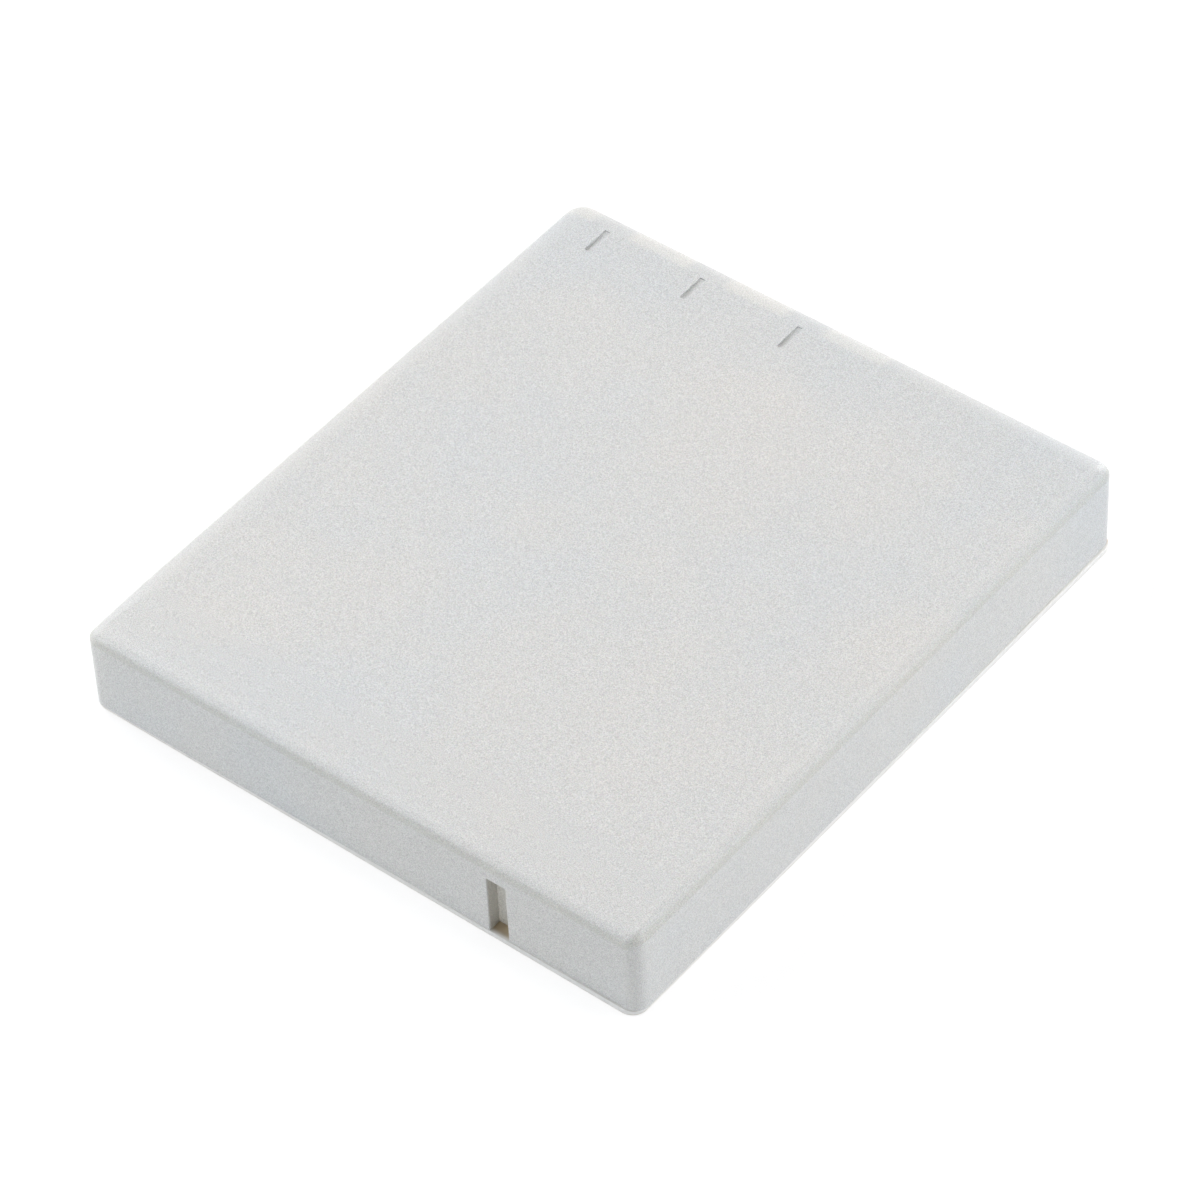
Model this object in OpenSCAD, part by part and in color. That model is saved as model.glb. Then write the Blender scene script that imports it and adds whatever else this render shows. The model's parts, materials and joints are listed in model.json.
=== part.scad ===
// Slim rechargeable battery pack for a compact camera.
// X runs across the pack, Y from the latch end to the contact end, Z up.
// The origin is the middle of the resting face.

/* [Pack] */
// Width of the casing
pack_w = 35.4; // [32:0.1:45]
// Length of the casing, latch end to contact end
pack_l = 40.3; // [36:0.1:55]
// Thickness of the whole pack, bottom sheet included
pack_h = 5.85; // [5.4:0.05:9]
// Radius of the four upright corners
corner_r = 1.05; // [1.05:0.05:2]
// Radius of the rounded edge round the top face
edge_r = 1.0; // [0.3:0.05:1.05]

/* [Casing walls] */
// Thickness of the top skin
top_skin = 0.6; // [0.45:0.05:1]
// Thickness of the two long side walls
side_wall = 0.6; // [0.4:0.05:1]
// Thickness of the end wall in front of the contacts
contact_wall = 0.9; // [0.7:0.05:1.4]
// Thickness of the end wall that holds the key notch
latch_wall = 1.3; // [1.2:0.05:1.8]
// Radius inside the upright corners of the cavity
inner_r = 0.5; // [0.2:0.05:0.8]
// Lap of the casing's two posts over the ends of the board
post_lap = 0.3; // [0.1:0.05:0.8]

/* [Grooves in the top face] */
// Distance of the first groove from the side of the casing
first_groove_inset = 3.3; // [2.6:0.05:5]
// Spacing of the grooves, and of the contact windows between them
contact_pitch = 6.45; // [5.2:0.05:8]
// Width of a groove
groove_w = 0.38; // [0.2:0.02:0.8]
// Length of a groove, run-out included
groove_l = 1.85; // [1.6:0.05:4]
// Distance of the groove's outer tip from the contact end
groove_inset = 1.5; // [0.8:0.05:3]
// Depth of a groove
groove_depth = 0.26; // [0.1:0.02:0.4]
// Length over which the floor of a groove rises to the top face
runout_l = 1.3; // [0.2:0.1:1.5]

/* [Contact windows] */
// Width of a window in the contact end wall
window_w = 4.0; // [3:0.1:4.6]
// Height of the wall left below a window
window_sill_h = 0.9; // [0.4:0.05:1.5]
// Depth of a contact's face behind the end of the pack
contact_inset = 0.5; // [0.2:0.05:0.6]
// Clear gap all round a contact in its window
contact_gap = 0.3; // [0.1:0.05:0.5]
// Thickness of the contact metal
contact_t = 0.25; // [0.15:0.05:0.4]
// Outside radius of the folds in a contact
contact_bend_r = 0.45; // [0.3:0.05:0.6]

/* [Key notch] */
// Distance of the notch's middle from the side of the casing
notch_inset = 8.65; // [4:0.05:14]
// Width of the notch
notch_w = 1.25; // [0.8:0.05:3]
// Depth of the notch into the latch end wall
notch_depth = 0.78; // [0.3:0.02:1]
// Height of the notch above the bottom sheet
notch_h = 3.8; // [2:0.05:4.4]

/* [Bottom sheet] */
// Thickness of the stiff sheet that closes the casing
sheet_t = 0.38; // [0.2:0.02:0.6]
// Amount by which the sheet is larger than the casing on each side
sheet_margin = 0.02; // [0:0.01:0.1]
// Angle by which the sheet was stuck on out of line
sheet_skew = -0.45; // [-0.8:0.05:0.8]

/* [Cell] */
// Thickness of each layer of adhesive tape on the cell
tape_t = 0.15; // [0.05:0.01:0.3]
// Gap between the can and each side wall
cell_gap = 0.2; // [0.1:0.05:0.5]
// Radius along the long edges of the can
can_r = 1.9; // [0.8:0.1:2.1]
// Thickness of the foam strip behind the can
foam_t = 0.5; // [0.3:0.05:1]
// Height of the foam strip
foam_h = 3.2; // [2:0.1:4]
// Margin between the edge of the can and each tape and foam strip
tape_margin = 3.5; // [2.2:0.1:6]
// Space between the can's lid and the circuit board
board_space_l = 2.2; // [2:0.1:4]
// Radius at the corners of the tapes
tape_r = 1.5; // [0.5:0.1:3]
// Radius of the terminal rivet's head
rivet_r = 0.95; // [0.7:0.05:1.2]
// Height of the terminal rivet's head above the lid
rivet_h = 0.4; // [0.35:0.05:0.6]
// Width of the gasket's ring round the rivet's head
gasket_w = 0.35; // [0.2:0.05:0.5]
// Height of the gasket's ring above the lid
gasket_h = 0.2; // [0.1:0.05:0.3]
// Radius of the filling plug in the lid
plug_r = 0.6; // [0.4:0.05:0.9]
// Height of the filling plug above the lid
plug_h = 0.15; // [0.05:0.05:0.3]
// Distance of the filling plug from the rivet
plug_offset = 5.2; // [3:0.1:6]

/* [Board] */
// Thickness of the circuit board
board_t = 0.8; // [0.4:0.1:1]
// Clear gap above and below the circuit board
board_edge_gap = 0.33; // [0.1:0.01:0.6]
// Gap between the board's ends and the side walls
board_gap = 0.8; // [0.3:0.1:1]
// Thickness of the moulded contact frame in front of the board
frame_t = 1.2; // [0.8:0.1:1.6]
// Clear gap round the contact frame, at its ends and top
frame_gap = 0.1; // [0.05:0.05:0.3]
// Radius of the frame's pegs that locate the board
peg_r = 0.4; // [0.25:0.05:0.55]
// Clear gap between a peg and its hole
peg_gap = 0.05; // [0.03:0.01:0.15]
// Distance of the pegs from the side walls
peg_inset = 2.3; // [2:0.1:2.6]

/* [Board parts] */
// Height of the moulded chips above the board
chip_h = 0.9; // [0.6:0.05:1]
// Size of the protection chip across the board
protection_chip_w = 2.9; // [2.4:0.1:3.6]
// Size of the protection chip up the board
protection_chip_l = 1.6; // [1.2:0.1:2.4]
// Legs on each side of the protection chip
protection_chip_legs = 3; // [2:1:3]
// Size of the switch transistor across the board
switch_w = 4.0; // [3.4:0.1:5]
// Size of the switch transistor up the board
switch_l = 2.4; // [1.6:0.1:2.8]
// Legs on each side of the switch transistor
switch_legs = 4; // [2:1:4]
// Spacing of the legs on each chip
leg_pitch = 0.95; // [0.8:0.05:1]
// Width of a chip's leg
leg_w = 0.35; // [0.2:0.05:0.5]
// Thickness of a chip's leg
leg_t = 0.15; // [0.1:0.01:0.2]
// Length of a leg beyond its chip
leg_l = 0.6; // [0.4:0.05:0.8]
// Length of a resistor, metal caps included
resistor_l = 1.0; // [0.8:0.1:1.4]
// Width of a resistor
resistor_w = 0.5; // [0.3:0.05:0.8]
// Height of a resistor above the board
resistor_h = 0.35; // [0.25:0.05:0.6]
// Length of a capacitor, metal caps included
capacitor_l = 1.0; // [0.8:0.1:1.4]
// Width of a capacitor
capacitor_w = 0.5; // [0.3:0.05:0.8]
// Height of a capacitor above the board
capacitor_h = 0.5; // [0.3:0.05:0.8]
// Length of the thermistor, metal caps included
thermistor_l = 1.6; // [1.2:0.1:2]
// Width of the thermistor
thermistor_w = 0.8; // [0.5:0.05:1.2]
// Height of the thermistor above the board
thermistor_h = 0.7; // [0.4:0.05:0.9]
// Gap under a chip's moulded body
chip_lift = 0.1; // [0.05:0.05:0.2]
// Length of the metal cap on each end of a small part
cap_l = 0.25; // [0.15:0.05:0.4]
// Thickness of those metal caps over the part's body
cap_t = 0.03; // [0.01:0.01:0.06]
// Clear gap between the columns of parts along the board
part_gap = 0.9; // [0.5:0.05:1.2]
// Height of the two rows of small parts above and below the middle of the board
row_offset = 1.0; // [0.7:0.1:1.3]
// Radius at the corners of the board
board_r = 0.3; // [0.1:0.05:0.6]

/* [Straps] */
// Thickness of the nickel straps
strap_t = 0.15; // [0.1:0.01:0.2]
// Width of the nickel straps
strap_w = 2.2; // [1.5:0.1:3]
// Length of a strap's welded or soldered foot
strap_foot_l = 1.8; // [1.2:0.1:2.4]
// Thickness of the insulating paper on the lid
paper_t = 0.15; // [0.1:0.01:0.2]
// Clear gap between the paper and what passes through it
paper_gap = 0.2; // [0.1:0.05:0.35]
// Length of the thermal cutoff along the lid
cutoff_l = 3.6; // [3:0.1:4.5]
// Height of the thermal cutoff
cutoff_h = 2.8; // [2.4:0.1:3.2]
// Thickness of the thermal cutoff
cutoff_t = 0.95; // [0.8:0.05:1.1]
// Distance of the thermal cutoff's middle from the rivet
cutoff_offset = 8.0; // [6:0.1:9]
// Radius at the corners of the thermal cutoff
cutoff_r = 0.4; // [0.2:0.05:0.6]
// Distance of the positive strap's bend from the side wall
positive_inset = 4.9; // [4.6:0.1:5.5]
// Length of the board strap along the lid, from the thermal cutoff to its bend
board_strap_l = 1.2; // [0.6:0.1:1.8]
// Margin between the insulating paper and the edges of the lid
paper_margin = 0.15; // [0.05:0.05:0.4]
// Paper beyond the filling plug and beyond the thermal cutoff
paper_end_l = 0.9; // [0.5:0.1:1.5]

/* [Hidden] */
$fn = 64;

// How far a cut runs past the surface that it opens
cut = 1;

// Least flat or step that a rounded edge leaves beside it
least_flat = 0.05;
top_r = min(edge_r, corner_r - least_flat);

// Planes along Y, from the contact end inwards
contact_end = pack_l / 2;
latch_end = -pack_l / 2;
contact_wall_in = contact_end - contact_wall;
board_front = contact_wall_in - frame_t;
board_back = board_front - board_t;
lid_y = board_back - board_space_l;
can_back = latch_end + latch_wall + foam_t;
contact_face = contact_end - contact_inset;

// Planes along Z and X
skin_under = pack_h - top_skin;
can_z = sheet_t + tape_t;
can_h = skin_under - tape_t - can_z;
can_w = pack_w - 2 * (side_wall + cell_gap);
can_l = lid_y - can_back;
can_round = min(can_r, can_h / 2 - least_flat);
can_mid = can_z + can_h / 2;
cavity_x = pack_w / 2 - side_wall;
post_w = board_gap + post_lap;
board_h = skin_under - sheet_t - 2 * board_edge_gap;
board_mid = (sheet_t + skin_under) / 2;
peg_x = cavity_x - peg_inset;

// Contacts and windows lie midway between the lines of the grooves
contact_count = 3;
function groove_x(i) = first_groove_inset - pack_w / 2 + i * contact_pitch;
function window_x(i) = groove_x(i) + contact_pitch / 2;
window_z = sheet_t + window_sill_h;
window_h = skin_under - window_z;

// Straps on the lid
strap_y = lid_y + rivet_h;
strap_z = can_mid - strap_w / 2;
cutoff_x = cutoff_offset - cutoff_l / 2;
positive_bend = positive_inset - cavity_x;

// Columns of parts on the board, from the foot of the positive strap onwards
column_w = [thermistor_w, resistor_l, protection_chip_w, capacitor_w, resistor_l, switch_w,
    capacitor_w, resistor_l];
function column_start(k) = k == 0 ? positive_bend + strap_t + part_gap
    : column_start(k - 1) + column_w[k - 1] + part_gap;
function column_x(k) = column_start(k) + column_w[k] / 2;
thermistor_x = column_x(0);
protection_chip_x = column_x(2);
switch_x = column_x(5);
resistor_x = [column_x(1), column_x(4), column_x(7)];
capacitor_x = [column_x(3), column_x(6)];

// Outline of a plate with rounded corners, centred
module rounded_plate(w, l, r) {
    square([w - 2 * r, l], center = true);
    square([w, l - 2 * r], center = true);
    for (x = [r - w / 2, w / 2 - r], y = [r - l / 2, l / 2 - r])
        translate([x, y]) circle(r);
}

// Section of a wall from the inside out, with its top outer edge rounded
module edge_section(reach, height, r) {
    square([reach - r, height]);
    square([reach, height - r]);
    translate([reach - r, height - r])
        intersection() {
            circle(r);
            square(r);
        }
}

// Block with rounded upright corners and a rounded top edge
module soft_block(w, l, h, r_corner, r_edge) {
    inner_w = w - 2 * r_corner;
    inner_l = l - 2 * r_corner;
    linear_extrude(h) square([inner_w, inner_l], center = true);
    for (side = [0, 1]) {
        rotate([0, 0, 180 * side]) {
            translate([inner_w / 2, inner_l / 2, 0])
                rotate_extrude(angle = 90) edge_section(r_corner, h, r_edge);
            translate([-inner_w / 2, inner_l / 2, 0])
                rotate([0, 0, 90]) rotate_extrude(angle = 90) edge_section(r_corner, h, r_edge);
            translate([inner_w / 2, inner_l / 2, 0])
                rotate([90, 0, 0]) linear_extrude(inner_l) edge_section(r_corner, h, r_edge);
            translate([-inner_w / 2, inner_l / 2, 0])
                rotate([90, 0, 90]) linear_extrude(inner_w) edge_section(r_corner, h, r_edge);
        }
    }
}

// Groove with a square inner end and a floor that rises towards the contact end
module groove() {
    rotate([90, 0, 90])
        linear_extrude(groove_w, center = true)
            polygon([[-groove_l, cut], [-groove_l, -groove_depth], [-runout_l, -groove_depth],
                [0, 0], [0, cut]]);
}

module upper_casing() {
    color([0.86, 0.86, 0.85])
    difference() {
        translate([0, 0, sheet_t])
            soft_block(pack_w, pack_l, pack_h - sheet_t, corner_r, top_r);
        // Cavity, between the two posts that stand in the contact bay
        difference() {
            translate([0, (latch_wall - contact_wall) / 2, sheet_t - cut])
                linear_extrude(skin_under - sheet_t + cut)
                    rounded_plate(pack_w - 2 * side_wall, pack_l - latch_wall - contact_wall, inner_r);
            for (side = [0, 1])
                mirror([side, 0, 0])
                    translate([cavity_x - post_w, lid_y, -cut])
                        cube([post_w + cut, board_space_l, pack_h + 2 * cut]);
        }
        for (i = [0 : contact_count - 1]) {
            translate([groove_x(i), contact_end - groove_inset, pack_h]) groove();
            translate([window_x(i) - window_w / 2, contact_wall_in - cut, window_z])
                cube([window_w, contact_wall + 2 * cut, window_h]);
        }
        // Key notch, open at the foot of the wall
        translate([pack_w / 2 - notch_inset - notch_w / 2, latch_end - cut, sheet_t - cut])
            cube([notch_w, notch_depth + cut, notch_h + cut]);
    }
}

module bottom_sheet() {
    color([0.93, 0.91, 0.87])
    rotate([0, 0, sheet_skew])
        linear_extrude(sheet_t)
            rounded_plate(pack_w + 2 * sheet_margin, pack_l + 2 * sheet_margin, corner_r + sheet_margin);
}

// Sealed can with its filling plug
module battery_cell() {
    color([0.78, 0.79, 0.8]) {
        translate([0, lid_y, can_mid])
            rotate([90, 0, 0]) linear_extrude(can_l) rounded_plate(can_w, can_h, can_round);
        translate([-plug_offset, lid_y + plug_h, can_mid])
            rotate([90, 0, 0]) cylinder(h = 2 * plug_h, r = plug_r);
    }
}

module cell_rivet() {
    color([0.72, 0.71, 0.68])
    translate([0, lid_y + rivet_h, can_mid])
        rotate([90, 0, 0]) cylinder(h = rivet_h, r = rivet_r);
}

module rivet_gasket() {
    color([0.15, 0.15, 0.16])
    translate([0, lid_y + gasket_h, can_mid])
        rotate([90, 0, 0])
            difference() {
                cylinder(h = gasket_h, r = rivet_r + gasket_w);
                translate([0, 0, -cut]) cylinder(h = gasket_h + 2 * cut, r = rivet_r);
            }
}

// Insulating paper on the lid, open round the rivet's gasket and the filling plug
module lid_paper() {
    paper_x = -plug_offset - plug_r - paper_end_l;
    paper_l = cutoff_x + cutoff_l + paper_end_l - paper_x;
    paper_h = can_h - 2 * paper_margin;
    color([0.83, 0.79, 0.68])
    translate([0, lid_y + paper_t, can_mid])
        rotate([90, 0, 0])
            linear_extrude(paper_t)
                difference() {
                    translate([paper_x, -paper_h / 2]) square([paper_l, paper_h]);
                    circle(rivet_r + gasket_w + paper_gap);
                    translate([-plug_offset, 0]) circle(plug_r + paper_gap);
                }
}

// Strap cut to a line of corners in plan, standing on edge round the middle of the can
module bent_strap(corners) {
    color([0.74, 0.73, 0.7])
    translate([0, 0, strap_z])
        linear_extrude(strap_w) polygon(corners);
}

// From its weld on the can to its foot on the board
module positive_strap() {
    bend = positive_bend;
    inner = bend + strap_t;
    bent_strap([[bend, lid_y], [bend + strap_foot_l, lid_y], [bend + strap_foot_l, lid_y + strap_t],
        [inner, lid_y + strap_t], [inner, board_back], [inner - strap_foot_l, board_back],
        [inner - strap_foot_l, board_back - strap_t], [bend, board_back - strap_t]]);
}

// From its round end on the rivet to the thermal cutoff
module rivet_strap() {
    color([0.74, 0.73, 0.7])
    translate([0, strap_y + strap_t, can_mid])
        rotate([90, 0, 0])
            linear_extrude(strap_t) {
                circle(strap_w / 2);
                translate([0, -strap_w / 2]) square([cutoff_x, strap_w]);
            }
}

module thermal_cutoff() {
    color([0.13, 0.13, 0.14])
    translate([cutoff_offset, lid_y + paper_t + cutoff_t, can_mid])
        rotate([90, 0, 0])
            linear_extrude(cutoff_t) rounded_plate(cutoff_l, cutoff_h, cutoff_r);
}

// From the thermal cutoff to its foot on the board
module board_strap() {
    start = cutoff_x + cutoff_l;
    bend = start + board_strap_l;
    inner = bend - strap_t;
    bent_strap([[start, strap_y], [bend, strap_y], [bend, board_back - strap_t],
        [inner + strap_foot_l, board_back - strap_t], [inner + strap_foot_l, board_back],
        [inner, board_back], [inner, strap_y + strap_t], [start, strap_y + strap_t]]);
}

// Comb of four uprights between the end wall and the board, with two pegs for the board
module contact_frame() {
    frame_h = skin_under - frame_gap - sheet_t;
    color([0.9, 0.9, 0.88]) {
        difference() {
            intersection() {
                translate([0, board_front - pack_l / 2 + frame_t, sheet_t])
                    linear_extrude(frame_h)
                        rounded_plate(2 * (cavity_x - frame_gap), pack_l, inner_r + frame_gap);
                translate([-pack_w / 2, board_front, 0]) cube([pack_w, 2 * frame_t, pack_h]);
            }
            for (i = [0 : contact_count - 1])
                translate([window_x(i) - window_w / 2, board_front - cut, window_z])
                    cube([window_w, frame_t + 2 * cut, window_h]);
        }
        for (side = [-1, 1])
            translate([side * peg_x, board_front, board_mid])
                rotate([90, 0, 0]) cylinder(h = board_t, r = peg_r);
    }
}

// Side view of a block whose two far edges are rounded
module folded_section(depth, h, r) {
    square([depth - r, h]);
    translate([0, r]) square([depth, h - 2 * r]);
    for (z = [r, h - r])
        translate([depth - r, z]) circle(r);
}

// Folded contact: a face behind its window and two flanges back to the board
module contact(i) {
    w = window_w - 2 * contact_gap;
    h = window_h - 2 * contact_gap;
    depth = contact_face - board_front;
    inner_bend_r = contact_bend_r - contact_t;
    color([0.86, 0.69, 0.33])
    translate([window_x(i) - w / 2, board_front, window_z + contact_gap])
        rotate([90, 0, 90])
            linear_extrude(w)
                difference() {
                    folded_section(depth, h, contact_bend_r);
                    translate([-cut, contact_t])
                        folded_section(depth - contact_t + cut, h - 2 * contact_t, inner_bend_r);
                }
}

module positive_contact() {
    contact(0);
}

module sense_contact() {
    contact(1);
}

module negative_contact() {
    contact(2);
}

module circuit_board() {
    color([0.12, 0.36, 0.22])
    translate([0, board_front, board_mid])
        rotate([90, 0, 0])
            linear_extrude(board_t)
                difference() {
                    rounded_plate(2 * (cavity_x - board_gap), board_h, board_r);
                    for (side = [-1, 1])
                        translate([side * peg_x, 0]) circle(peg_r + peg_gap);
                }
}

// Places what it is given on the back of the board, its height pointing to the cell
module on_board(x, z) {
    translate([x, board_back, board_mid + z]) rotate([90, 0, 0]) children();
}

module chip_body(w, l) {
    color([0.11, 0.11, 0.12])
    translate([0, 0, chip_lift])
        linear_extrude(chip_h - chip_lift) square([w, l], center = true);
}

module protection_chip() {
    on_board(protection_chip_x, 0) chip_body(protection_chip_w, protection_chip_l);
}

module switch_transistor() {
    on_board(switch_x, 0) chip_body(switch_w, switch_l);
}

// Rows of bent legs along the upper and lower sides of a chip of length l
module leg_rows(l, legs) {
    shoulder_z = (chip_h + chip_lift - leg_t) / 2;
    knee = leg_l / 3;
    for (side = [0, 180], k = [0 : legs - 1])
        rotate([0, 0, side])
            translate([(k - (legs - 1) / 2) * leg_pitch - leg_w / 2, l / 2, 0])
                rotate([90, 0, 90])
                    linear_extrude(leg_w)
                        polygon([[0, shoulder_z], [knee, shoulder_z], [knee, 0], [leg_l, 0],
                            [leg_l, leg_t], [knee + leg_t, leg_t], [knee + leg_t, shoulder_z + leg_t],
                            [0, shoulder_z + leg_t]]);
}

module chip_legs() {
    color([0.77, 0.77, 0.76]) {
        on_board(protection_chip_x, 0) leg_rows(protection_chip_l, protection_chip_legs);
        on_board(switch_x, 0) leg_rows(switch_l, switch_legs);
    }
}

// Small ceramic block with a metal cap on each end
module capped_block(l, w, h) {
    translate([-l / 2, cap_t - w / 2, cap_t]) cube([l, w - 2 * cap_t, h - 2 * cap_t]);
    for (x = [-l / 2, l / 2 - cap_l])
        translate([x, -w / 2, 0]) cube([cap_l, w, h]);
}

module thermistor() {
    color([0.2, 0.17, 0.16])
    on_board(thermistor_x, 0) rotate([0, 0, 90]) capped_block(thermistor_l, thermistor_w, thermistor_h);
}

module resistors() {
    color([0.16, 0.16, 0.17])
    for (x = resistor_x, side = [-1, 1])
        on_board(x, side * row_offset) capped_block(resistor_l, resistor_w, resistor_h);
}

module capacitors() {
    color([0.62, 0.5, 0.38])
    for (x = capacitor_x, side = [-1, 1])
        on_board(x, side * row_offset)
            rotate([0, 0, 90]) capped_block(capacitor_l, capacitor_w, capacitor_h);
}

// Layer of adhesive tape on a flat side of the can
module tape(z) {
    color([0.95, 0.94, 0.9])
    translate([0, (can_back + lid_y) / 2, z])
        linear_extrude(tape_t)
            rounded_plate(can_w - 2 * tape_margin, can_l - 2 * tape_margin, tape_r);
}

module top_tape() {
    tape(skin_under - tape_t);
}

module bottom_tape() {
    tape(sheet_t);
}

module end_foam() {
    color([0.25, 0.25, 0.27])
    translate([tape_margin - can_w / 2, can_back - foam_t, can_mid - foam_h / 2])
        cube([can_w - 2 * tape_margin, foam_t, foam_h]);
}

upper_casing();
bottom_sheet();
battery_cell();
cell_rivet();
rivet_gasket();
lid_paper();
positive_strap();
rivet_strap();
thermal_cutoff();
board_strap();
contact_frame();
positive_contact();
sense_contact();
negative_contact();
circuit_board();
protection_chip();
switch_transistor();
chip_legs();
thermistor();
resistors();
capacitors();
top_tape();
bottom_tape();
end_foam();
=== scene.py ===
# Finish, lamps and camera for a slim camera battery pack with a moulded casing and a stiff bottom sheet.
import json
import math

import bmesh
import bpy
from mathutils import Matrix, Vector


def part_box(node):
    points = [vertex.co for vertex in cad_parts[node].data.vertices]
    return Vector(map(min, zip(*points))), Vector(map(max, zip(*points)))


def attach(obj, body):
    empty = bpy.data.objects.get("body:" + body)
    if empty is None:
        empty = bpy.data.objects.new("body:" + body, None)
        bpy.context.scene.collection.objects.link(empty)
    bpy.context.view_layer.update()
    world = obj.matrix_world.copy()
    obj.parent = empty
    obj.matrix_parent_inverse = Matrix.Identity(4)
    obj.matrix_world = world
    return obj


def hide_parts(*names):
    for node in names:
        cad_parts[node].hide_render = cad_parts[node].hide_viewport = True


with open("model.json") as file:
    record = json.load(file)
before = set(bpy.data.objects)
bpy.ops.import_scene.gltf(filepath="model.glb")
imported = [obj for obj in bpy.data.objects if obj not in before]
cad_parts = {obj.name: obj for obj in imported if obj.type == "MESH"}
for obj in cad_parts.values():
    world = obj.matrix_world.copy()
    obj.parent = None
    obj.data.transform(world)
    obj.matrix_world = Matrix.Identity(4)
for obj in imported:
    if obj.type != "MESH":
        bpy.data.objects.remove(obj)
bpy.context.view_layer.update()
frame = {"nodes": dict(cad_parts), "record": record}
mm = 0.001
scene = bpy.context.scene
casingLow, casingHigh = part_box("upper_casing")
contactBoxes = [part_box(name) for name in ("positive_contact", "sense_contact", "negative_contact")]
contactMiddles = [(low + high) / 2 for low, high in contactBoxes]
pitch = contactMiddles[1].x - contactMiddles[0].x
print("frame loaded:", len(frame["nodes"]), "nodes")


# Small tools for meshes

def linkMesh(name, mesh):
    piece = bpy.data.objects.new(name, mesh)
    scene.collection.objects.link(piece)
    return piece


def meshFrom(build, name):
    bm = bmesh.new()
    build(bm)
    bmesh.ops.remove_doubles(bm, verts=bm.verts, dist=1e-7)
    bmesh.ops.recalc_face_normals(bm, faces=bm.faces)
    mesh = bpy.data.meshes.new(name)
    bm.to_mesh(mesh)
    bm.free()
    return mesh


def loftRings(bm, rings):
    # Closed skin over rings of equally many points, with a cap on the first and the last
    loops = [[bm.verts.new(point) for point in ring] for ring in rings]
    count = len(loops[0])
    for low, high in zip(loops, loops[1:]):
        for k in range(count):
            bm.faces.new((low[k], low[(k + 1) % count], high[(k + 1) % count], high[k]))
    bm.faces.new(loops[0][::-1])
    bm.faces.new(loops[-1])


def roundedOutline(width, length, radii, steps=9):
    # Points round a rectangle centred on the origin; radii are those of the four corners from +X +Y on
    points = []
    for turn, radius in enumerate(radii):
        signX = 1 if turn in (0, 3) else -1
        signY = 1 if turn in (0, 1) else -1
        for k in range(steps + 1):
            angle = math.radians(90 * (turn + k / steps))
            points.append((signX * (width / 2 - radius) + radius * math.cos(angle),
                           signY * (length / 2 - radius) + radius * math.sin(angle)))
    return points


def steppedTurns(steps=9):
    # Angles of a quarter turn
    return [math.radians(90 * k / steps) for k in range(steps + 1)]


def bakeModifiers(piece):
    bpy.context.view_layer.update()
    graph = bpy.context.evaluated_depsgraph_get()
    mesh = bpy.data.meshes.new_from_object(piece.evaluated_get(graph))
    piece.modifiers.clear()
    piece.data = mesh
    return piece


def cutWith(piece, *cutters):
    for cutter in cutters:
        step = piece.modifiers.new("cut", "BOOLEAN")
        step.operation = "DIFFERENCE"
        step.solver = "EXACT"
        step.object = cutter
    bakeModifiers(piece)
    for cutter in cutters:
        bpy.data.objects.remove(cutter)


def smoothByAngle(piece, degrees=12):
    # Creases sharper than this stay sharp
    piece.data.shade_smooth()
    piece.data.set_sharp_from_angle(angle=math.radians(degrees))
    keep = piece.modifiers.new("flatFaces", "WEIGHTED_NORMAL")
    keep.keep_sharp = True
    bakeModifiers(piece)


def finishPiece(piece, slotName, *replaced):
    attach(piece, "root")
    if replaced:
        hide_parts(*replaced)


# Small tools for node trees

def addNode(tree, kind, values=None, **settings):
    made = tree.nodes.new(kind)
    for name, value in settings.items():
        setattr(made, name, value)
    for name, value in (values or {}).items():
        if isinstance(value, bpy.types.NodeSocket):
            tree.links.new(value, made.inputs[name])
        else:
            made.inputs[name].default_value = value
    return made


def startTree(name, sockets):
    # Geometry tree with named inputs; sockets maps a label to its kind and first value
    tree = bpy.data.node_groups.new(name, "GeometryNodeTree")
    tree.interface.new_socket("Geometry", in_out="OUTPUT", socket_type="NodeSocketGeometry")
    tree.interface.new_socket("Geometry", in_out="INPUT", socket_type="NodeSocketGeometry")
    for label, (kind, value) in sockets.items():
        socket = tree.interface.new_socket(label, in_out="INPUT", socket_type="NodeSocket" + kind)
        if value is not None:
            socket.default_value = value
    return tree, addNode(tree, "NodeGroupInput"), addNode(tree, "NodeGroupOutput")


def endTree(tree, geometry, material, output):
    real = addNode(tree, "GeometryNodeRealizeInstances", {"Geometry": geometry})
    dressed = addNode(tree, "GeometryNodeSetMaterial", {"Geometry": real.outputs[0], "Material": material})
    tree.links.new(dressed.outputs[0], output.inputs[0])


def runTree(piece, tree, values):
    modifier = piece.modifiers.new(tree.name, "NODES")
    modifier.node_group = tree
    for item in tree.interface.items_tree:
        if item.item_type == "SOCKET" and item.in_out == "INPUT" and item.name in values:
            modifier[item.identifier] = values[item.name]
    return bakeModifiers(piece)


# Materials

def startMaterial(name, color, roughness, metallic=0.0):
    material = bpy.data.materials.new(name)
    material.use_nodes = True
    tree = material.node_tree
    tree.nodes.clear()
    shader = addNode(tree, "ShaderNodeBsdfPrincipled", {"Base Color": (*color, 1), "Roughness": roughness,
                                                        "Metallic": metallic})
    output = addNode(tree, "ShaderNodeOutputMaterial", {"Surface": shader.outputs[0]})
    place = addNode(tree, "ShaderNodeTexCoord").outputs["Object"]
    return material, tree, shader, place


def noiseAt(tree, place, size, detail=2.0, stretch=None):
    # Noise whose patches are about size metres across, drawn out along the stretched axes
    if stretch:
        place = addNode(tree, "ShaderNodeMapping", {"Vector": place, "Scale": stretch}).outputs[0]
    made = addNode(tree, "ShaderNodeTexNoise", {"Vector": place, "Scale": 1 / size, "Detail": detail,
                                                "Roughness": 0.55})
    return made.outputs["Fac"]


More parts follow.
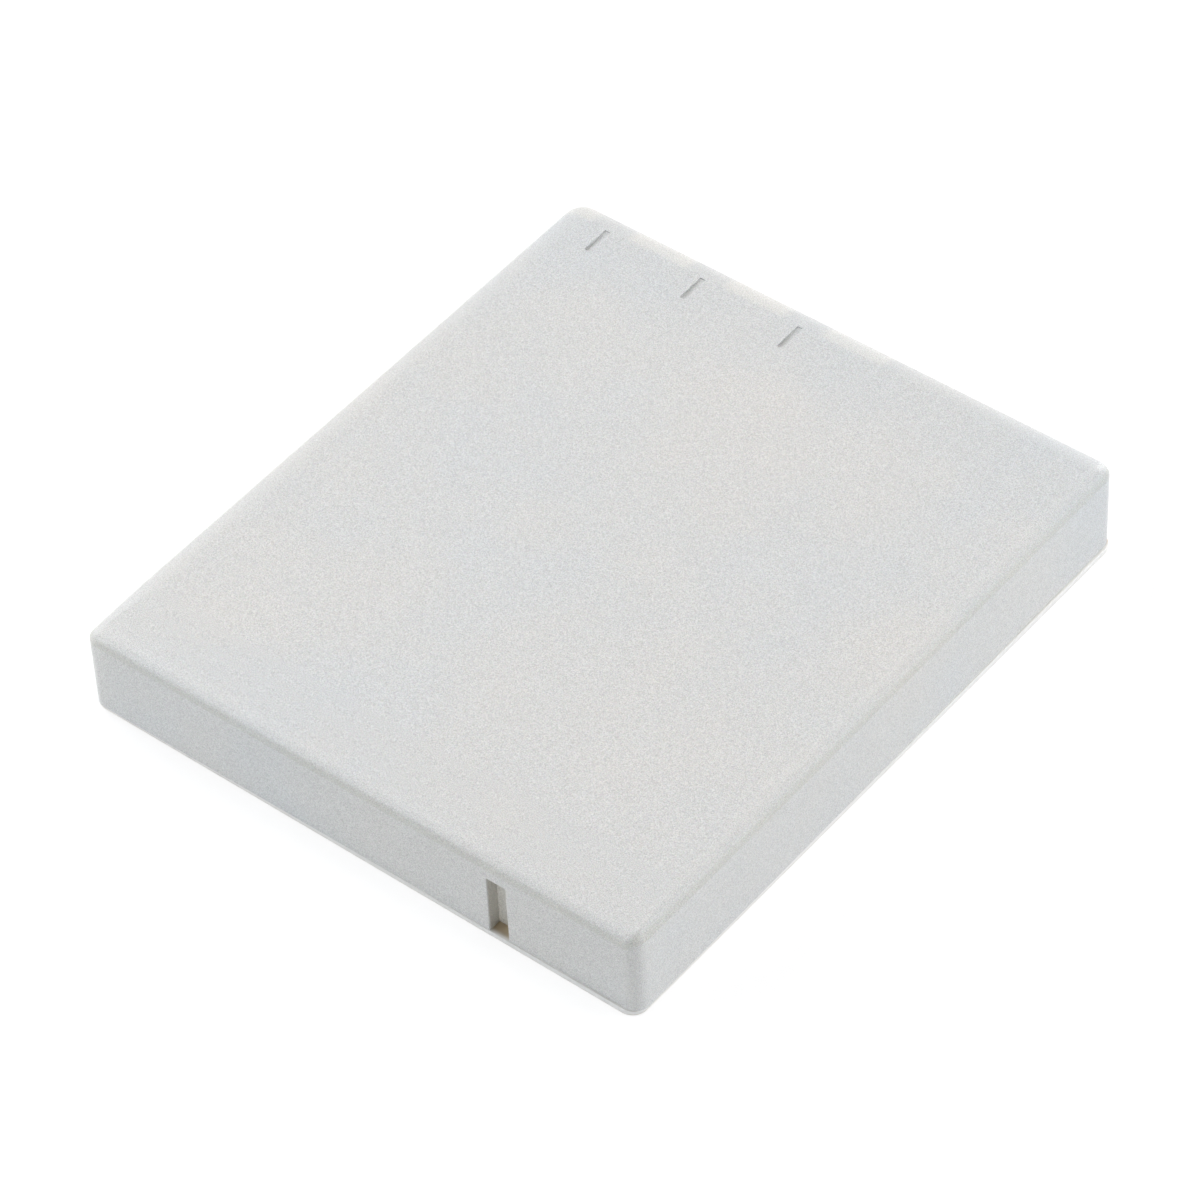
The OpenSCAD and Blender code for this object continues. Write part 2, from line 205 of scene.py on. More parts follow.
def tonesBy(tree, factor, stops):
    # Colour ramp with stops of place and colour
    ramp = addNode(tree, "ShaderNodeValToRGB", {"Fac": factor})
    ends = ramp.color_ramp.elements
    while len(ends) < len(stops):
        ends.new(0.5)
    for end, (position, color) in zip(ends, stops):
        end.position = position
        end.color = (*color, 1)
    return ramp.outputs["Color"]


def blendColor(tree, factor, first, second, mode="MIX"):
    made = addNode(tree, "ShaderNodeMix", data_type="RGBA", blend_type=mode)
    for socket, value in ((made.inputs[0], factor), (made.inputs[6], first), (made.inputs[7], second)):
        if isinstance(value, bpy.types.NodeSocket):
            tree.links.new(value, socket)
        else:
            socket.default_value = value if isinstance(value, float) else (*value, 1)
    return made.outputs[2]


def bumpFrom(tree, shader, layers):
    # Chain of bumps, each of a height, a strength and a depth in metres
    normal = None
    for height, strength, depth in layers:
        made = addNode(tree, "ShaderNodeBump", {"Height": height, "Strength": strength, "Distance": depth})
        if normal:
            tree.links.new(normal, made.inputs["Normal"])
        normal = made.outputs["Normal"]
    tree.links.new(normal, shader.inputs["Normal"])


def bandAlong(tree, value, start, end):
    # 0 before start, 1 after end, smooth between
    made = addNode(tree, "ShaderNodeMapRange", {"Value": value, "From Min": start, "From Max": end},
                   interpolation_type="SMOOTHSTEP", clamp=True)
    return made.outputs["Result"]


def calc(tree, operation, *values):
    made = addNode(tree, "ShaderNodeMath", operation=operation)
    for socket, value in zip(made.inputs, values):
        if isinstance(value, bpy.types.NodeSocket):
            tree.links.new(value, socket)
        else:
            socket.default_value = value
    return made.outputs[0]


def allOf(tree, first, *others):
    for other in others:
        first = calc(tree, "MULTIPLY", first, other)
    return first


def axesOf(tree, place):
    spot = addNode(tree, "ShaderNodeSeparateXYZ", {"Vector": place})
    return {axis.lower(): spot.outputs[axis] for axis in "XYZ"}


def fadeOf(tree, along, name, *ends):
    # 0 at the first end and 1 at the second, both in mm, or else the named mask itself
    return bandAlong(tree, along[name], ends[0] * mm, ends[1] * mm) if ends else along[name]


def tintedBy(tree, tone, along, tints):
    # Each tint is a colour that is multiplied in, and the fades that bound it
    for tint, fades in tints.values():
        mask = allOf(tree, *[fadeOf(tree, along, *fade) for fade in fades])
        tone = blendColor(tree, 1.0, tone, blendColor(tree, mask, (1, 1, 1), tint), "MULTIPLY")
    return tone


casingFinish = {
    "color": (0.69, 0.687, 0.672),
    "coolTone": (0.672, 0.682, 0.683),  # cloudy patches
    "warmTone": (0.71, 0.695, 0.67),
    "cloudSize": 9 * mm,
    "speckle": 0.25,  # contrast of the fine grain
    "tintSpeckle": 0.27,  # contrast of its colours
    "grainSize": 0.052 * mm,
    "tintSize": 0.0832 * mm,
    "patchSize": 0.156 * mm,  # of the patches that are duller or glossier
    "grainDepth": 0.008 * mm,
    "roughness": 0.45,
    "roughnessSpread": 0.06,
    "gloss": 0.5,
    "glow": 0.12,  # share of light that travels inside the plastic
    "glowReach": 0.6 * mm,
    "crease": 4.75 * mm,  # level of the crease below the rounded edge of the latch end
    "creaseRise": 0.30 * mm,  # how much higher it lies on the +X side
}
# Places on the casing, each bounded by fades: what a fade runs along, and where it is 0 and where 1, in mm
casingPlaces = {
    "rightWall": [("x", 17.0, 17.3)],
    "rightRounding": [("x", 15.8, 17.2)],
    "latchRounding": [("y", -18.4, -19.6)],
    "rightFace": [("x", 17.3, 17.6)],
    "latchFace": [("y", -19.9, -20.1)],
    "notch": [("x", 8.38, 8.40), ("x", 9.68, 9.66), ("y", -19.3, -19.35), ("z", 4.25, 4.2)],
}
# Tints of the casing: a colour that is multiplied in, and the fades or places that bound it
casingTints = {
    "contactEnd": ((0.965, 0.98, 0.995), [("y", 13.0, 17.0)]),
    # painted shade: a darker band on the roundings of the +X side and the latch end, from the crease up
    # about 0.6 mm
    "nearRoundingShade": ((0.945, 0.945, 0.915), [("nearEdges",), ("aboveCrease", 0, 0.07),
                                            ("aboveCrease", 0.62, 0.3)]),
    # painted highlight: the crest of the latch-end rounding is drawn lighter
    "latchCrestHighlight": ((1.03, 1.03, 1.03), [("y", -19.0, -19.7), ("z", 5.2, 5.42)]),
    # painted highlight: the crest of the +X rounding is drawn a little lighter
    "rightCrestHighlight": ((1.015, 1.015, 1.01), [("x", 16.6, 17.0), ("x", 17.6, 17.25)]),
    # painted shade: the +X rounding below its crest is drawn a little darker
    "belowRightCrestShade": ((0.975, 0.975, 0.97), [("x", 17.2, 17.6), ("aboveCrease", 0, 0.07)]),
    # painted highlight: the -X rounding is drawn lighter, standing in for light from the left
    "leftRoundingHighlight": ((1.035, 1.03, 1.02), [("x", -15.6, -16.8)]),
    "windowLipGlow": ((1.11, 1.09, 1.06), [("fromWindow", 2.3, 1.7), ("x", 4.95, 4.305),
                                        ("y", 18.5, 19.0), ("z", 5.1, 5.3)]),  # painted glow: the thin lip over each window is drawn lighter, standing in for light that comes through it
    # painted shade: the insides of the three grooves are drawn darker
    "grooves": ((0.96, 0.96, 0.955), [("z", 5.83, 5.8), ("x", -16, -15.5), ("x", 0, -0.5),
                                      ("y", 16.7, 16.8), ("y", 18.8, 18.7)]),
    # painted shade: the inside of the key notch is drawn darker and warmer from just within its mouth
    "notchInsideShade": ((0.88, 0.86, 0.81), [("notch",), ("y", -20.1, -20.0)]),
    # painted light: the back wall of the key notch is drawn much lighter
    "notchBackLight": ((1.42, 1.43, 1.45), [("notch",), ("y", -19.41, -19.39)]),
    # painted light: the near faces are drawn lighter towards the foot, standing in for light thrown up from
    # the floor
    "wallFootLight": ((1.03, 1.03, 1.03), [("nearFaces",), ("z", 4.8, 0.4)]),
}


def casingPlastic():
    look = casingFinish
    material, tree, shader, place = startMaterial("casingPlastic", look["color"], look["roughness"])
    along = axesOf(tree, place)
    for name, fades in casingPlaces.items():
        along[name] = allOf(tree, *[fadeOf(tree, along, *fade) for fade in fades])
    along["nearEdges"] = calc(tree, "MAXIMUM", along["rightRounding"], along["latchRounding"])
    along["nearFaces"] = calc(tree, "MAXIMUM", along["rightFace"], along["latchFace"])
    rise = calc(tree, "MULTIPLY", along["rightWall"], look["creaseRise"])
    along["aboveCrease"] = calc(tree, "SUBTRACT", along["z"], calc(tree, "ADD", look["crease"], rise))
    fromFirst = calc(tree, "SUBTRACT", along["x"], contactMiddles[0].x)
    along["fromWindow"] = calc(tree, "ABSOLUTE", calc(tree, "WRAP", fromFirst, pitch / 2, -pitch / 2))
    clouds = noiseAt(tree, place, look["cloudSize"], 3)
    tone = tonesBy(tree, clouds, [(0.3, look["coolTone"]), (0.5, look["color"]), (0.72, look["warmTone"])])
    tone = tintedBy(tree, tone, along, casingTints)
    grain = noiseAt(tree, place, look["grainSize"], 1)
    low, high = 1 - look["speckle"], 1 + look["speckle"]
    speckle = tonesBy(tree, grain, [(0.25, (low, low, low)), (0.75, (high, high, high))])
    grained = blendColor(tree, 1.0, tone, speckle, "MULTIPLY")
    tints = addNode(tree, "ShaderNodeTexNoise", {"Vector": place, "Scale": 1 / look["tintSize"]})
    tinted = blendColor(tree, look["tintSpeckle"], grained, tints.outputs["Color"], "SOFT_LIGHT")
    tree.links.new(tinted, shader.inputs["Base Color"])
    patches = noiseAt(tree, place, look["patchSize"], 2)
    smoothest, roughest = (look["roughness"] + sign * look["roughnessSpread"] for sign in (-1, 1))
    rough = addNode(tree, "ShaderNodeMapRange", {"Value": patches, "To Min": smoothest, "To Max": roughest})
    tree.links.new(rough.outputs["Result"], shader.inputs["Roughness"])
    shader.inputs["Specular IOR Level"].default_value = look["gloss"]
    shader.inputs["Subsurface Weight"].default_value = look["glow"]
    shader.inputs["Subsurface Scale"].default_value = look["glowReach"]
    shader.inputs["Subsurface Radius"].default_value = (1.0, 0.95, 0.9)
    bumpFrom(tree, shader, [(patches, 0.5, 2 * look["grainDepth"]), (grain, 0.8, look["grainDepth"])])
    return material


sheetFinish = {
    "color": (0.965, 0.95, 0.925),
    "fibreTone": (0.93, 0.915, 0.885),
    "fibreSize": 0.35 * mm,
    "fineSize": 0.08 * mm,
    "roughness": 0.5,
}
sheetTints = {
    # painted shade: the lowest 0.1 mm of the sheet, its underside too, is drawn darker and warmer, standing
    # in for the contact shadow by the floor
    "lowerRimShade": ((0.86, 0.79, 0.73), [("z", 0.1, 0.04)]),
    "gluedTop": ((0.58, 0.47, 0.33), [("y", -20.16, -19.8), ("z", 0.3, 0.315),
                                      ("fromMiddle", 17.71, 17.5)]),
}


def sheetFilm():
    look = sheetFinish
    material, tree, shader, place = startMaterial("sheetFilm", look["color"], look["roughness"])
    fibres = noiseAt(tree, place, look["fibreSize"], 4, (1, 0.25, 1))
    tone = tonesBy(tree, fibres, [(0.3, look["fibreTone"]), (0.6, look["color"])])
    along = axesOf(tree, place)
    along["fromMiddle"] = calc(tree, "ABSOLUTE", along["x"])
    tone = tintedBy(tree, tone, along, sheetTints)
    tree.links.new(tone, shader.inputs["Base Color"])
    fine = noiseAt(tree, place, look["fineSize"], 2)
    bumpFrom(tree, shader, [(fibres, 0.3, 0.01 * mm), (fine, 0.4, 0.004 * mm)])
    return material


def metalFinish(name, color, dark, roughness, stretch, lineSize):
    # Rolled or brushed metal with drawn lines and cloudy tarnish
    material, tree, shader, place = startMaterial(name, color, roughness, 1.0)
    lines = noiseAt(tree, place, lineSize, 3, stretch)
    clouds = noiseAt(tree, place, 1.4 * mm, 3)
    tone = tonesBy(tree, clouds, [(0.3, dark), (0.65, color)])
    tree.links.new(blendColor(tree, 0.5, color, tone), shader.inputs["Base Color"])
    rough = addNode(tree, "ShaderNodeMapRange", {"Value": lines, "To Min": roughness - 0.1,
                                                 "To Max": roughness + 0.15})
    tree.links.new(rough.outputs["Result"], shader.inputs["Roughness"])
    bumpFrom(tree, shader, [(lines, 0.35, 0.006 * mm)])
    return material


def softFinish(name, color, second, roughness, size, depth, stretch=None):
    # Matte stuff with two tones of one grain, such as paper, tape, foam or moulded resin
    material, tree, shader, place = startMaterial(name, color, roughness)
    grain = noiseAt(tree, place, size, 4, stretch)
    tone = tonesBy(tree, grain, [(0.35, second), (0.65, color)])
    tree.links.new(tone, shader.inputs["Base Color"])
    bumpFrom(tree, shader, [(grain, 0.6, depth)])
    return material


boardFinish = {
    "mask": (0.018, 0.105, 0.045),
    "copperUnder": (0.03, 0.16, 0.06),
    "weaveSize": 0.45 * mm,
    "trackSize": 2.6 * mm,
}


def boardLaminate():
    # Green solder mask with the weave and the broad copper tracks showing through
    look = boardFinish
    material, tree, shader, place = startMaterial("boardLaminate", look["mask"], 0.35)
    weave = addNode(tree, "ShaderNodeTexChecker", {"Vector": place, "Scale": 1 / look["weaveSize"]})
    flat = addNode(tree, "ShaderNodeMapping", {"Vector": place, "Rotation": (math.pi / 2, 0, 0)})
    copper, mask = (*look["copperUnder"], 1), (*look["mask"], 1)
    tracks = addNode(tree, "ShaderNodeTexBrick", {"Vector": flat.outputs[0], "Scale": 1 / look["trackSize"],
                                                  "Mortar Size": 0.06, "Color1": copper, "Color2": copper,
                                                  "Mortar": mask})
    tone = blendColor(tree, 0.85, look["mask"], tracks.outputs["Color"])
    tree.links.new(tone, shader.inputs["Base Color"])
    shader.inputs["Coat Weight"].default_value = 0.3
    bumpFrom(tree, shader, [(tracks.outputs["Fac"], 0.5, 0.02 * mm),
                            (weave.outputs["Fac"], 0.08, 0.01 * mm)])
    return material


materials = {
    "casing_plastic": casingPlastic(),
    "sheet_plastic": sheetFilm(),
    "frame_plastic": softFinish("framePlastic", (0.74, 0.74, 0.71), (0.70, 0.70, 0.66), 0.55,
                                0.15 * mm, 0.006 * mm),
    "can_aluminium": metalFinish("canAluminium", (0.72, 0.73, 0.74), (0.58, 0.59, 0.61), 0.34,
                                 (1, 0.05, 1), 0.12 * mm),
    "rivet_metal": metalFinish("rivetMetal", (0.66, 0.64, 0.60), (0.48, 0.46, 0.43), 0.3,
                               (1, 1, 0.1), 0.08 * mm),
    "nickel": metalFinish("nickelStrip", (0.64, 0.61, 0.56), (0.47, 0.45, 0.41), 0.3,
                          (0.06, 1, 1), 0.1 * mm),
    "gold_plate": metalFinish("goldPlate", (0.83, 0.60, 0.26), (0.62, 0.43, 0.19), 0.24,
                              (1, 1, 0.05), 0.06 * mm),
    "tinned_metal": metalFinish("tinnedMetal", (0.70, 0.70, 0.69), (0.50, 0.50, 0.50), 0.36,
                                (1, 1, 1), 0.1 * mm),
    "gasket_plastic": softFinish("gasketPlastic", (0.02, 0.02, 0.022), (0.014, 0.014, 0.015), 0.45,
                                 0.1 * mm, 0.004 * mm),
    "insulating_paper": softFinish("insulatingPaper", (0.62, 0.56, 0.41), (0.50, 0.44, 0.31), 0.85,
                                   0.22 * mm, 0.015 * mm, (0.3, 1, 1)),
    "cutoff_shell": softFinish("cutoffShell", (0.016, 0.016, 0.018), (0.011, 0.011, 0.012), 0.22,
                               0.3 * mm, 0.004 * mm),
    "board_laminate": boardLaminate(),
    "chip_plastic": softFinish("chipPlastic", (0.014, 0.014, 0.016), (0.024, 0.024, 0.026), 0.6,
                               0.07 * mm, 0.006 * mm),
    "dark_ceramic": softFinish("darkCeramic", (0.02, 0.02, 0.022), (0.035, 0.035, 0.04), 0.35,
                               0.08 * mm, 0.003 * mm),
    "tan_ceramic": softFinish("tanCeramic", (0.36, 0.23, 0.13), (0.28, 0.17, 0.10), 0.4,
                              0.08 * mm, 0.003 * mm),
    "tape_film": softFinish("tapeFilm", (0.80, 0.78, 0.72), (0.72, 0.70, 0.64), 0.6,
                            0.4 * mm, 0.012 * mm, (1, 0.2, 1)),
    "foam": softFinish("foamCells", (0.045, 0.045, 0.05), (0.012, 0.012, 0.014), 0.95,
                       0.18 * mm, 0.06 * mm),
}
for part in frame["record"]["subparts"]:
    for slot in frame["nodes"][part["node"]].material_slots:
        slot.material = materials[part["material_slot"]]
print("materials:", len(materials))


# Repeats what it is given in rows: Count copies a Pitch apart, and Rows of them a Row Step apart

def repeatTree():
    tree, given, output = startTree("repeatInRows", {
        "Count": ("Int", 3), "Pitch": ("Vector", (0, 0, 0)), "Rows": ("Int", 1),
        "Row Step": ("Vector", (0, 0, 0)), "First": ("Vector", (0, 0, 0)), "Material": ("Material", None)})
    line = addNode(tree, "GeometryNodeMeshLine", {"Count": given.outputs["Count"],
                                                  "Start Location": given.outputs["First"],
                                                  "Offset": given.outputs["Pitch"]})
    row = addNode(tree, "GeometryNodeInstanceOnPoints", {"Points": line.outputs[0],
                                                         "Instance": given.outputs["Geometry"]})
    starts = addNode(tree, "GeometryNodeMeshLine", {"Count": given.outputs["Rows"],
                                                    "Offset": given.outputs["Row Step"]})
    copies = addNode(tree, "GeometryNodeInstanceOnPoints", {"Points": starts.outputs[0],
                                                            "Instance": row.outputs[0]})
    endTree(tree, copies.outputs[0], given.outputs["Material"], output)
    return tree


rowsOf = repeatTree()
casing = {
    "corners": (1.02 * mm, 1.18 * mm, 0.82 * mm, 0.87 * mm),  # upright, from +X +Y on to +X -Y
    "topReach": (0.85, 1.5, 1.6),  # of the rounding on the +X, +Y and -X side, in mm
    "topDrop": (0.78, 0.72, 0.88),
    "latchEdge": [(0, 4.5), (0.012, 4.2), (0.0433, 3.4), (0.0693, 2.4), (0.0892, 1.7), (0.1066, 1.2),
                  (0.1318, 0.85), (0.1556, 0.65), (0.179, 0.5), (0.209, 0.397), (0.246, 0.306),
                  (0.2965, 0.226), (0.3615, 0.157), (0.451, 0.101), (0.579, 0.055), (0.72, 0.026),
                  (0.78, 0.018), (0.88, 0.01), (1.08, 0)],  # drop and reach in mm of each ring, -Y edge
    "endFall": [(0, 0.2), (0.65, 0.17), (1.2, 0.14), (1.7, 0.11), (2.4, 0.08), (3.4, 0.04),
                (4.5, 0)],  # how far the side edges fall at each distance from the latch end, in mm
    "topTurn": 77,  # degrees the top rounding turns before it meets the wall in a fine crease
    "footLevel": 0.33 * mm,
    "footRound": 0.07 * mm,
    "sideWall": 0.6 * mm,
    "contactWall": 0.9 * mm,
    "latchWall": 1.3 * mm,
    "topSkin": 0.6 * mm,
    "innerRadius": 0.5 * mm,
    "sharpest": 0.08 * mm,  # least radius of an upright corner where rings draw in
    "postLap": 0.3 * mm,  # lap of the two posts over the ends of the board
    "over": 1.0 * mm,  # how far a cutter runs past what it cuts
    "cornerSteps": 16,
}
windows = {
    "gap": 0.3 * mm,  # clear gap round each contact
    "lip": 0.09 * mm,  # radius of the rim
    "cornerRadius": 0.2 * mm,
}
grooves = {
    "inset": 1.5 * mm,  # from the contact end to a groove's tip
    "length": 1.85 * mm,
    "width": 0.36 * mm,
    "depth": 0.16 * mm,
    "tipDepth": 0.07 * mm,  # what is left of the depth at the tip
    "runOut": 1.3 * mm,
    "lip": 0.025 * mm,
    "endRadius": 0.1 * mm,
    "wallSlope": 0.002 * mm,  # lean of the end wall, which keeps its rings apart
}
notch = {
    "inset": 8.67 * mm,  # from the side to the notch's middle
    "width": 1.19 * mm,
    "depth": 0.78 * mm,
    "height": 3.85 * mm,
    "top": 4.17 * mm,
    "lip": 0.07 * mm,
    "cornerRadius": 0.08 * mm,
    "floorRadius": 0.05 * mm,
}


def lipSteps(lip, depth, floorRadius, over):
    # Height and widening of each ring of a pocket, from its floor to beyond its rounded rim
    turns = steppedTurns()
    levels = [(floorRadius * (1 - math.cos(turn)) - depth, floorRadius * (math.sin(turn) - 1))
              for turn in turns]
    levels += [(lip * (math.sin(turn) - 1), lip * (1 - math.cos(turn))) for turn in turns]
    return levels + [(over, lip)]


def pocketCutter(name, width, height, depth, lip, cornerRadius, floorRadius, facing):
    # Pocket with a rounded rim, its mouth centred on the origin and opening along facing
    turn = Matrix.Rotation(math.radians(90 if facing == "-Y" else -90), 4, "X")

    def build(bm):
        rings = []
        for level, grow in lipSteps(lip, depth, floorRadius, casing["over"]):
            outline = roundedOutline(width + 2 * grow, height + 2 * grow, (cornerRadius + grow,) * 4)
            rings.append([turn @ Vector((x, y, level)) for x, y in outline])
        loftRings(bm, rings)
    return linkMesh(name, meshFrom(build, name))


def grooveCutter(name, steps=6):
    # Slot along Y that ends at the origin, with rounded rims and a floor that rises to a low step there
    size = grooves
    turns = steppedTurns(steps)
    narrow = size["width"] / 2 - size["endRadius"]
    stations = [(-size["length"] - size["lip"] * (1 - math.sin(turn)), narrow,
                 size["lip"] * (1 - math.cos(turn))) for turn in turns[1:]]
    stations += [(-size["length"] + size["endRadius"] * (1 - math.cos(turn)) + size["wallSlope"],
                  narrow + size["endRadius"] * math.sin(turn), size["depth"]) for turn in turns]
    fall = size["depth"] - size["tipDepth"]
    stations += [(-size["runOut"] * (1 - k / 8), size["width"] / 2, size["depth"] - fall * k / 8)
                 for k in range(9)]

    def build(bm):
        rings = []
        for y, half, depth in stations:
            lip = min(size["lip"], 0.6 * depth)
            side = [(half + lip, casing["over"])]
            side += [(half + lip * (1 - math.sin(turn)), lip * (math.cos(turn) - 1)) for turn in turns]
            side.append((half, -depth))
            ring = side + [(-x, z) for x, z in side[::-1]]
            rings.append([Vector((x, y, z)) for x, z in ring])
        loftRings(bm, rings)
    return linkMesh(name, meshFrom(build, name))


def cavityCutter():
    # The space inside the casing, with the two posts left standing beside the board
    wallX = casingHigh.x - casing["sideWall"]
    endY = casingHigh.y - casing["contactWall"]
    startY = casingLow.y + casing["latchWall"]
    boardLow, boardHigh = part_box("circuit_board")
    postX = boardHigh.x - casing["postLap"]
    postY = (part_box("lid_paper")[0].y, boardLow.y)
    middle = (startY + endY) / 2
    inner = roundedOutline(2 * wallX, endY - startY, (casing["innerRadius"],) * 4)
    outline = [(x, y + middle) for x, y in inner]
    right = [(wallX, postY[0]), (postX, postY[0]), (postX, postY[1]), (wallX, postY[1])]
    left = [(-x, y) for x, y in right[::-1]]
    perCorner = len(outline) // 4
    points = outline[:2 * perCorner] + left + outline[2 * perCorner:] + right

    def build(bm):
        heights = (casingLow.z - casing["over"], casingHigh.z - casing["topSkin"])
        loftRings(bm, [[Vector((x, y, z)) for x, y in points] for z in heights])
    return linkMesh("cavityCutter", meshFrom(build, "cavityCutter"))


def fallAt(reach):
    # Full fall of a side edge at a distance from the latch end
    for (reachA, fallA), (reachB, fallB) in zip(casing["endFall"], casing["endFall"][1:]):
        if reachA * mm <= reach <= reachB * mm:
            return (fallA + (fallB - fallA) * (reach / mm - reachA) / (reachB - reachA)) * mm
    return 0.0


def casingRing(height, insets, falling=0.0):
    # Ring of the outer skin; insets are those of the +X, +Y, -X and -Y side, and falling is the share of
    # the side edges' fall that the ring takes
    steps, points = casing["cornerSteps"], []
    alongEdge = [reach * mm for reach, fall in casing["endFall"][1:]]
    for turn, corner in enumerate(casing["corners"]):
        radius = max(corner - (insets[turn] + insets[(turn + 1) % 4]) / 2, casing["sharpest"])
        signX, signY = (1 if turn in (0, 3) else -1), (1 if turn in (0, 1) else -1)
        sideX = casingHigh.x - insets[0 if signX > 0 else 2]
        middleX = signX * (sideX - radius)
        middleY = signY * (casingHigh.y - insets[1 if signY > 0 else 3] - radius)
        alongSide = [casingLow.y + max(reach, insets[3] + radius) for reach in alongEdge]
        if turn == 2:
            points += [(-sideX, y) for y in alongSide[::-1]]
        for angle in [math.radians(90 * (turn + k / steps)) for k in range(steps + 1)]:
            points.append((middleX + radius * math.cos(angle), middleY + radius * math.sin(angle)))
        if turn == 3:
            points += [(sideX, y) for y in alongSide]
    return [Vector((x, y, height - falling * fallAt(y - casingLow.y))) for x, y in points]


def makeShell():
    foot, full = casing["footRound"], math.radians(casing["topTurn"])

    def reachAt(drop, reachAll, dropAll):
        # Part of an ellipse that meets the wall in a fine crease
        turn = math.acos(1 - min(drop / dropAll, 1) * (1 - math.cos(full)))
        return reachAll * (1 - math.sin(turn) / math.sin(full)) * mm

    def build(bm):
        rings = [casingRing(casing["footLevel"] + foot * (1 - math.cos(turn)),
                            [foot * (1 - math.sin(turn))] * 4) for turn in steppedTurns()]
        for drop, reachY in casing["latchEdge"][::-1]:
            insets = [reachAt(drop, *sizes) for sizes in zip(casing["topReach"], casing["topDrop"])]
            falling = 4 * drop * max(1 - drop, 0)  # most half way down the rounding
            rings.append(casingRing(casingHigh.z - drop * mm, insets + [reachY * mm], falling))
        loftRings(bm, rings)
    shell = linkMesh("casingShell", meshFrom(build, "casingShell"))
    shell.data.materials.append(materials["casing_plastic"])
    return shell


def makeCasing():
    shell = makeShell()
    plain = materials["casing_plastic"]
    windowSize = contactBoxes[0][1] - contactBoxes[0][0]
    gap = windows["gap"]
    windowSet = pocketCutter("windowSet", windowSize.x + 2 * gap, windowSize.z + 2 * gap,
                             casing["contactWall"] + casing["over"], windows["lip"],
                             windows["cornerRadius"], 0, "+Y")
    runTree(windowSet, rowsOf, {"Count": 3, "Pitch": (pitch, 0, 0), "Material": plain,
                                "First": (contactMiddles[0].x, casingHigh.y, contactMiddles[0].z)})
    grooveSet = grooveCutter("grooveSet")
    runTree(grooveSet, rowsOf, {"Count": 3, "Pitch": (pitch, 0, 0), "Material": plain,
                                "First": (contactMiddles[0].x - pitch / 2,
                                          casingHigh.y - grooves["inset"], casingHigh.z)})
    deep = casing["over"]
    keyNotch = pocketCutter("keyNotch", notch["width"], notch["height"] + deep, notch["depth"],
                            notch["lip"], notch["cornerRadius"], notch["floorRadius"], "-Y")
    keyNotch.data.transform(Matrix.Translation((casingHigh.x - notch["inset"], casingLow.y,
                                                notch["top"] - (notch["height"] + deep) / 2)))
    cutWith(shell, cavityCutter(), windowSet, grooveSet, keyNotch)
    smoothByAngle(shell)
    finishPiece(shell, "casing_plastic", "upper_casing")
    return shell


sheet = {
    "shift": 0.03 * mm,  # towards the contact end
    "skew": -0.40,  # degrees out of line with the casing
    "thickness": 0.32 * mm,
    "topRound": 0.04 * mm,
    "footRound": 0.06 * mm,
    "cornerSteps": 12,
}


def makeSheet():
    size = casingHigh - casingLow
    foot, top = sheet["footRound"], sheet["topRound"]
    levels = [(foot * (1 - math.cos(turn)), foot * (1 - math.sin(turn))) for turn in steppedTurns()]
    levels += [(sheet["thickness"] - top * (1 - math.cos(turn)), top * (1 - math.sin(turn)))
               for turn in steppedTurns()[::-1]]

    def build(bm):
        rings = []
        for height, inset in levels:
            corners = [max(radius - inset, casing["sharpest"]) for radius in casing["corners"]]
            outline = roundedOutline(size.x - 2 * inset, size.y - 2 * inset, corners, sheet["cornerSteps"])
            rings.append([Vector((x, y, height)) for x, y in outline])
        loftRings(bm, rings)
    panel = linkMesh("sheetPanel", meshFrom(build, "sheetPanel"))
    panel.data.materials.append(materials["sheet_plastic"])
    panel.data.transform(Matrix.Translation((0, sheet["shift"], 0))
                         @ Matrix.Rotation(math.radians(sheet["skew"]), 4, "Z"))
    smoothByAngle(panel)
    finishPiece(panel, "sheet_plastic", "bottom_sheet")
    return panel


casingShell = makeCasing()
sheetPanel = makeSheet()
print("casing and sheet:", len(casingShell.data.polygons), "and", len(sheetPanel.data.polygons), "faces")


welds = {
    "radius": 0.24 * mm,
    "height": 0.035 * mm,
    "rim": 0.06 * mm,  # raised ring round the sunk middle
    "pitch": 0.85 * mm,
    "stripThickness": 0.15 * mm,
    "canInset": 1.25 * mm,  # from the end of each strip to its first weld
    "positiveInset": 0.45 * mm,
    "boardInset": 1.3 * mm,
}


def weldSpot(name, facing):
    # Round spot with a raised ring, round the origin and facing +Y or -Y
    size = welds
    profile = [(size["radius"], -0.3), (size["radius"], 0), (size["radius"] - 0.4 * size["rim"], 0.7),
               (size["radius"] - size["rim"], 1), (size["radius"] - 2 * size["rim"], 0.4),
               (size["radius"] / 3, 0.25)]
    turns = [math.radians(15 * k) for k in range(24)]

    def build(bm):
        loftRings(bm, [[Vector((radius * math.cos(turn), facing * rise * size["height"],
                                radius * math.sin(turn))) for turn in turns] for radius, rise in profile])
    return linkMesh(name, meshFrom(build, name))


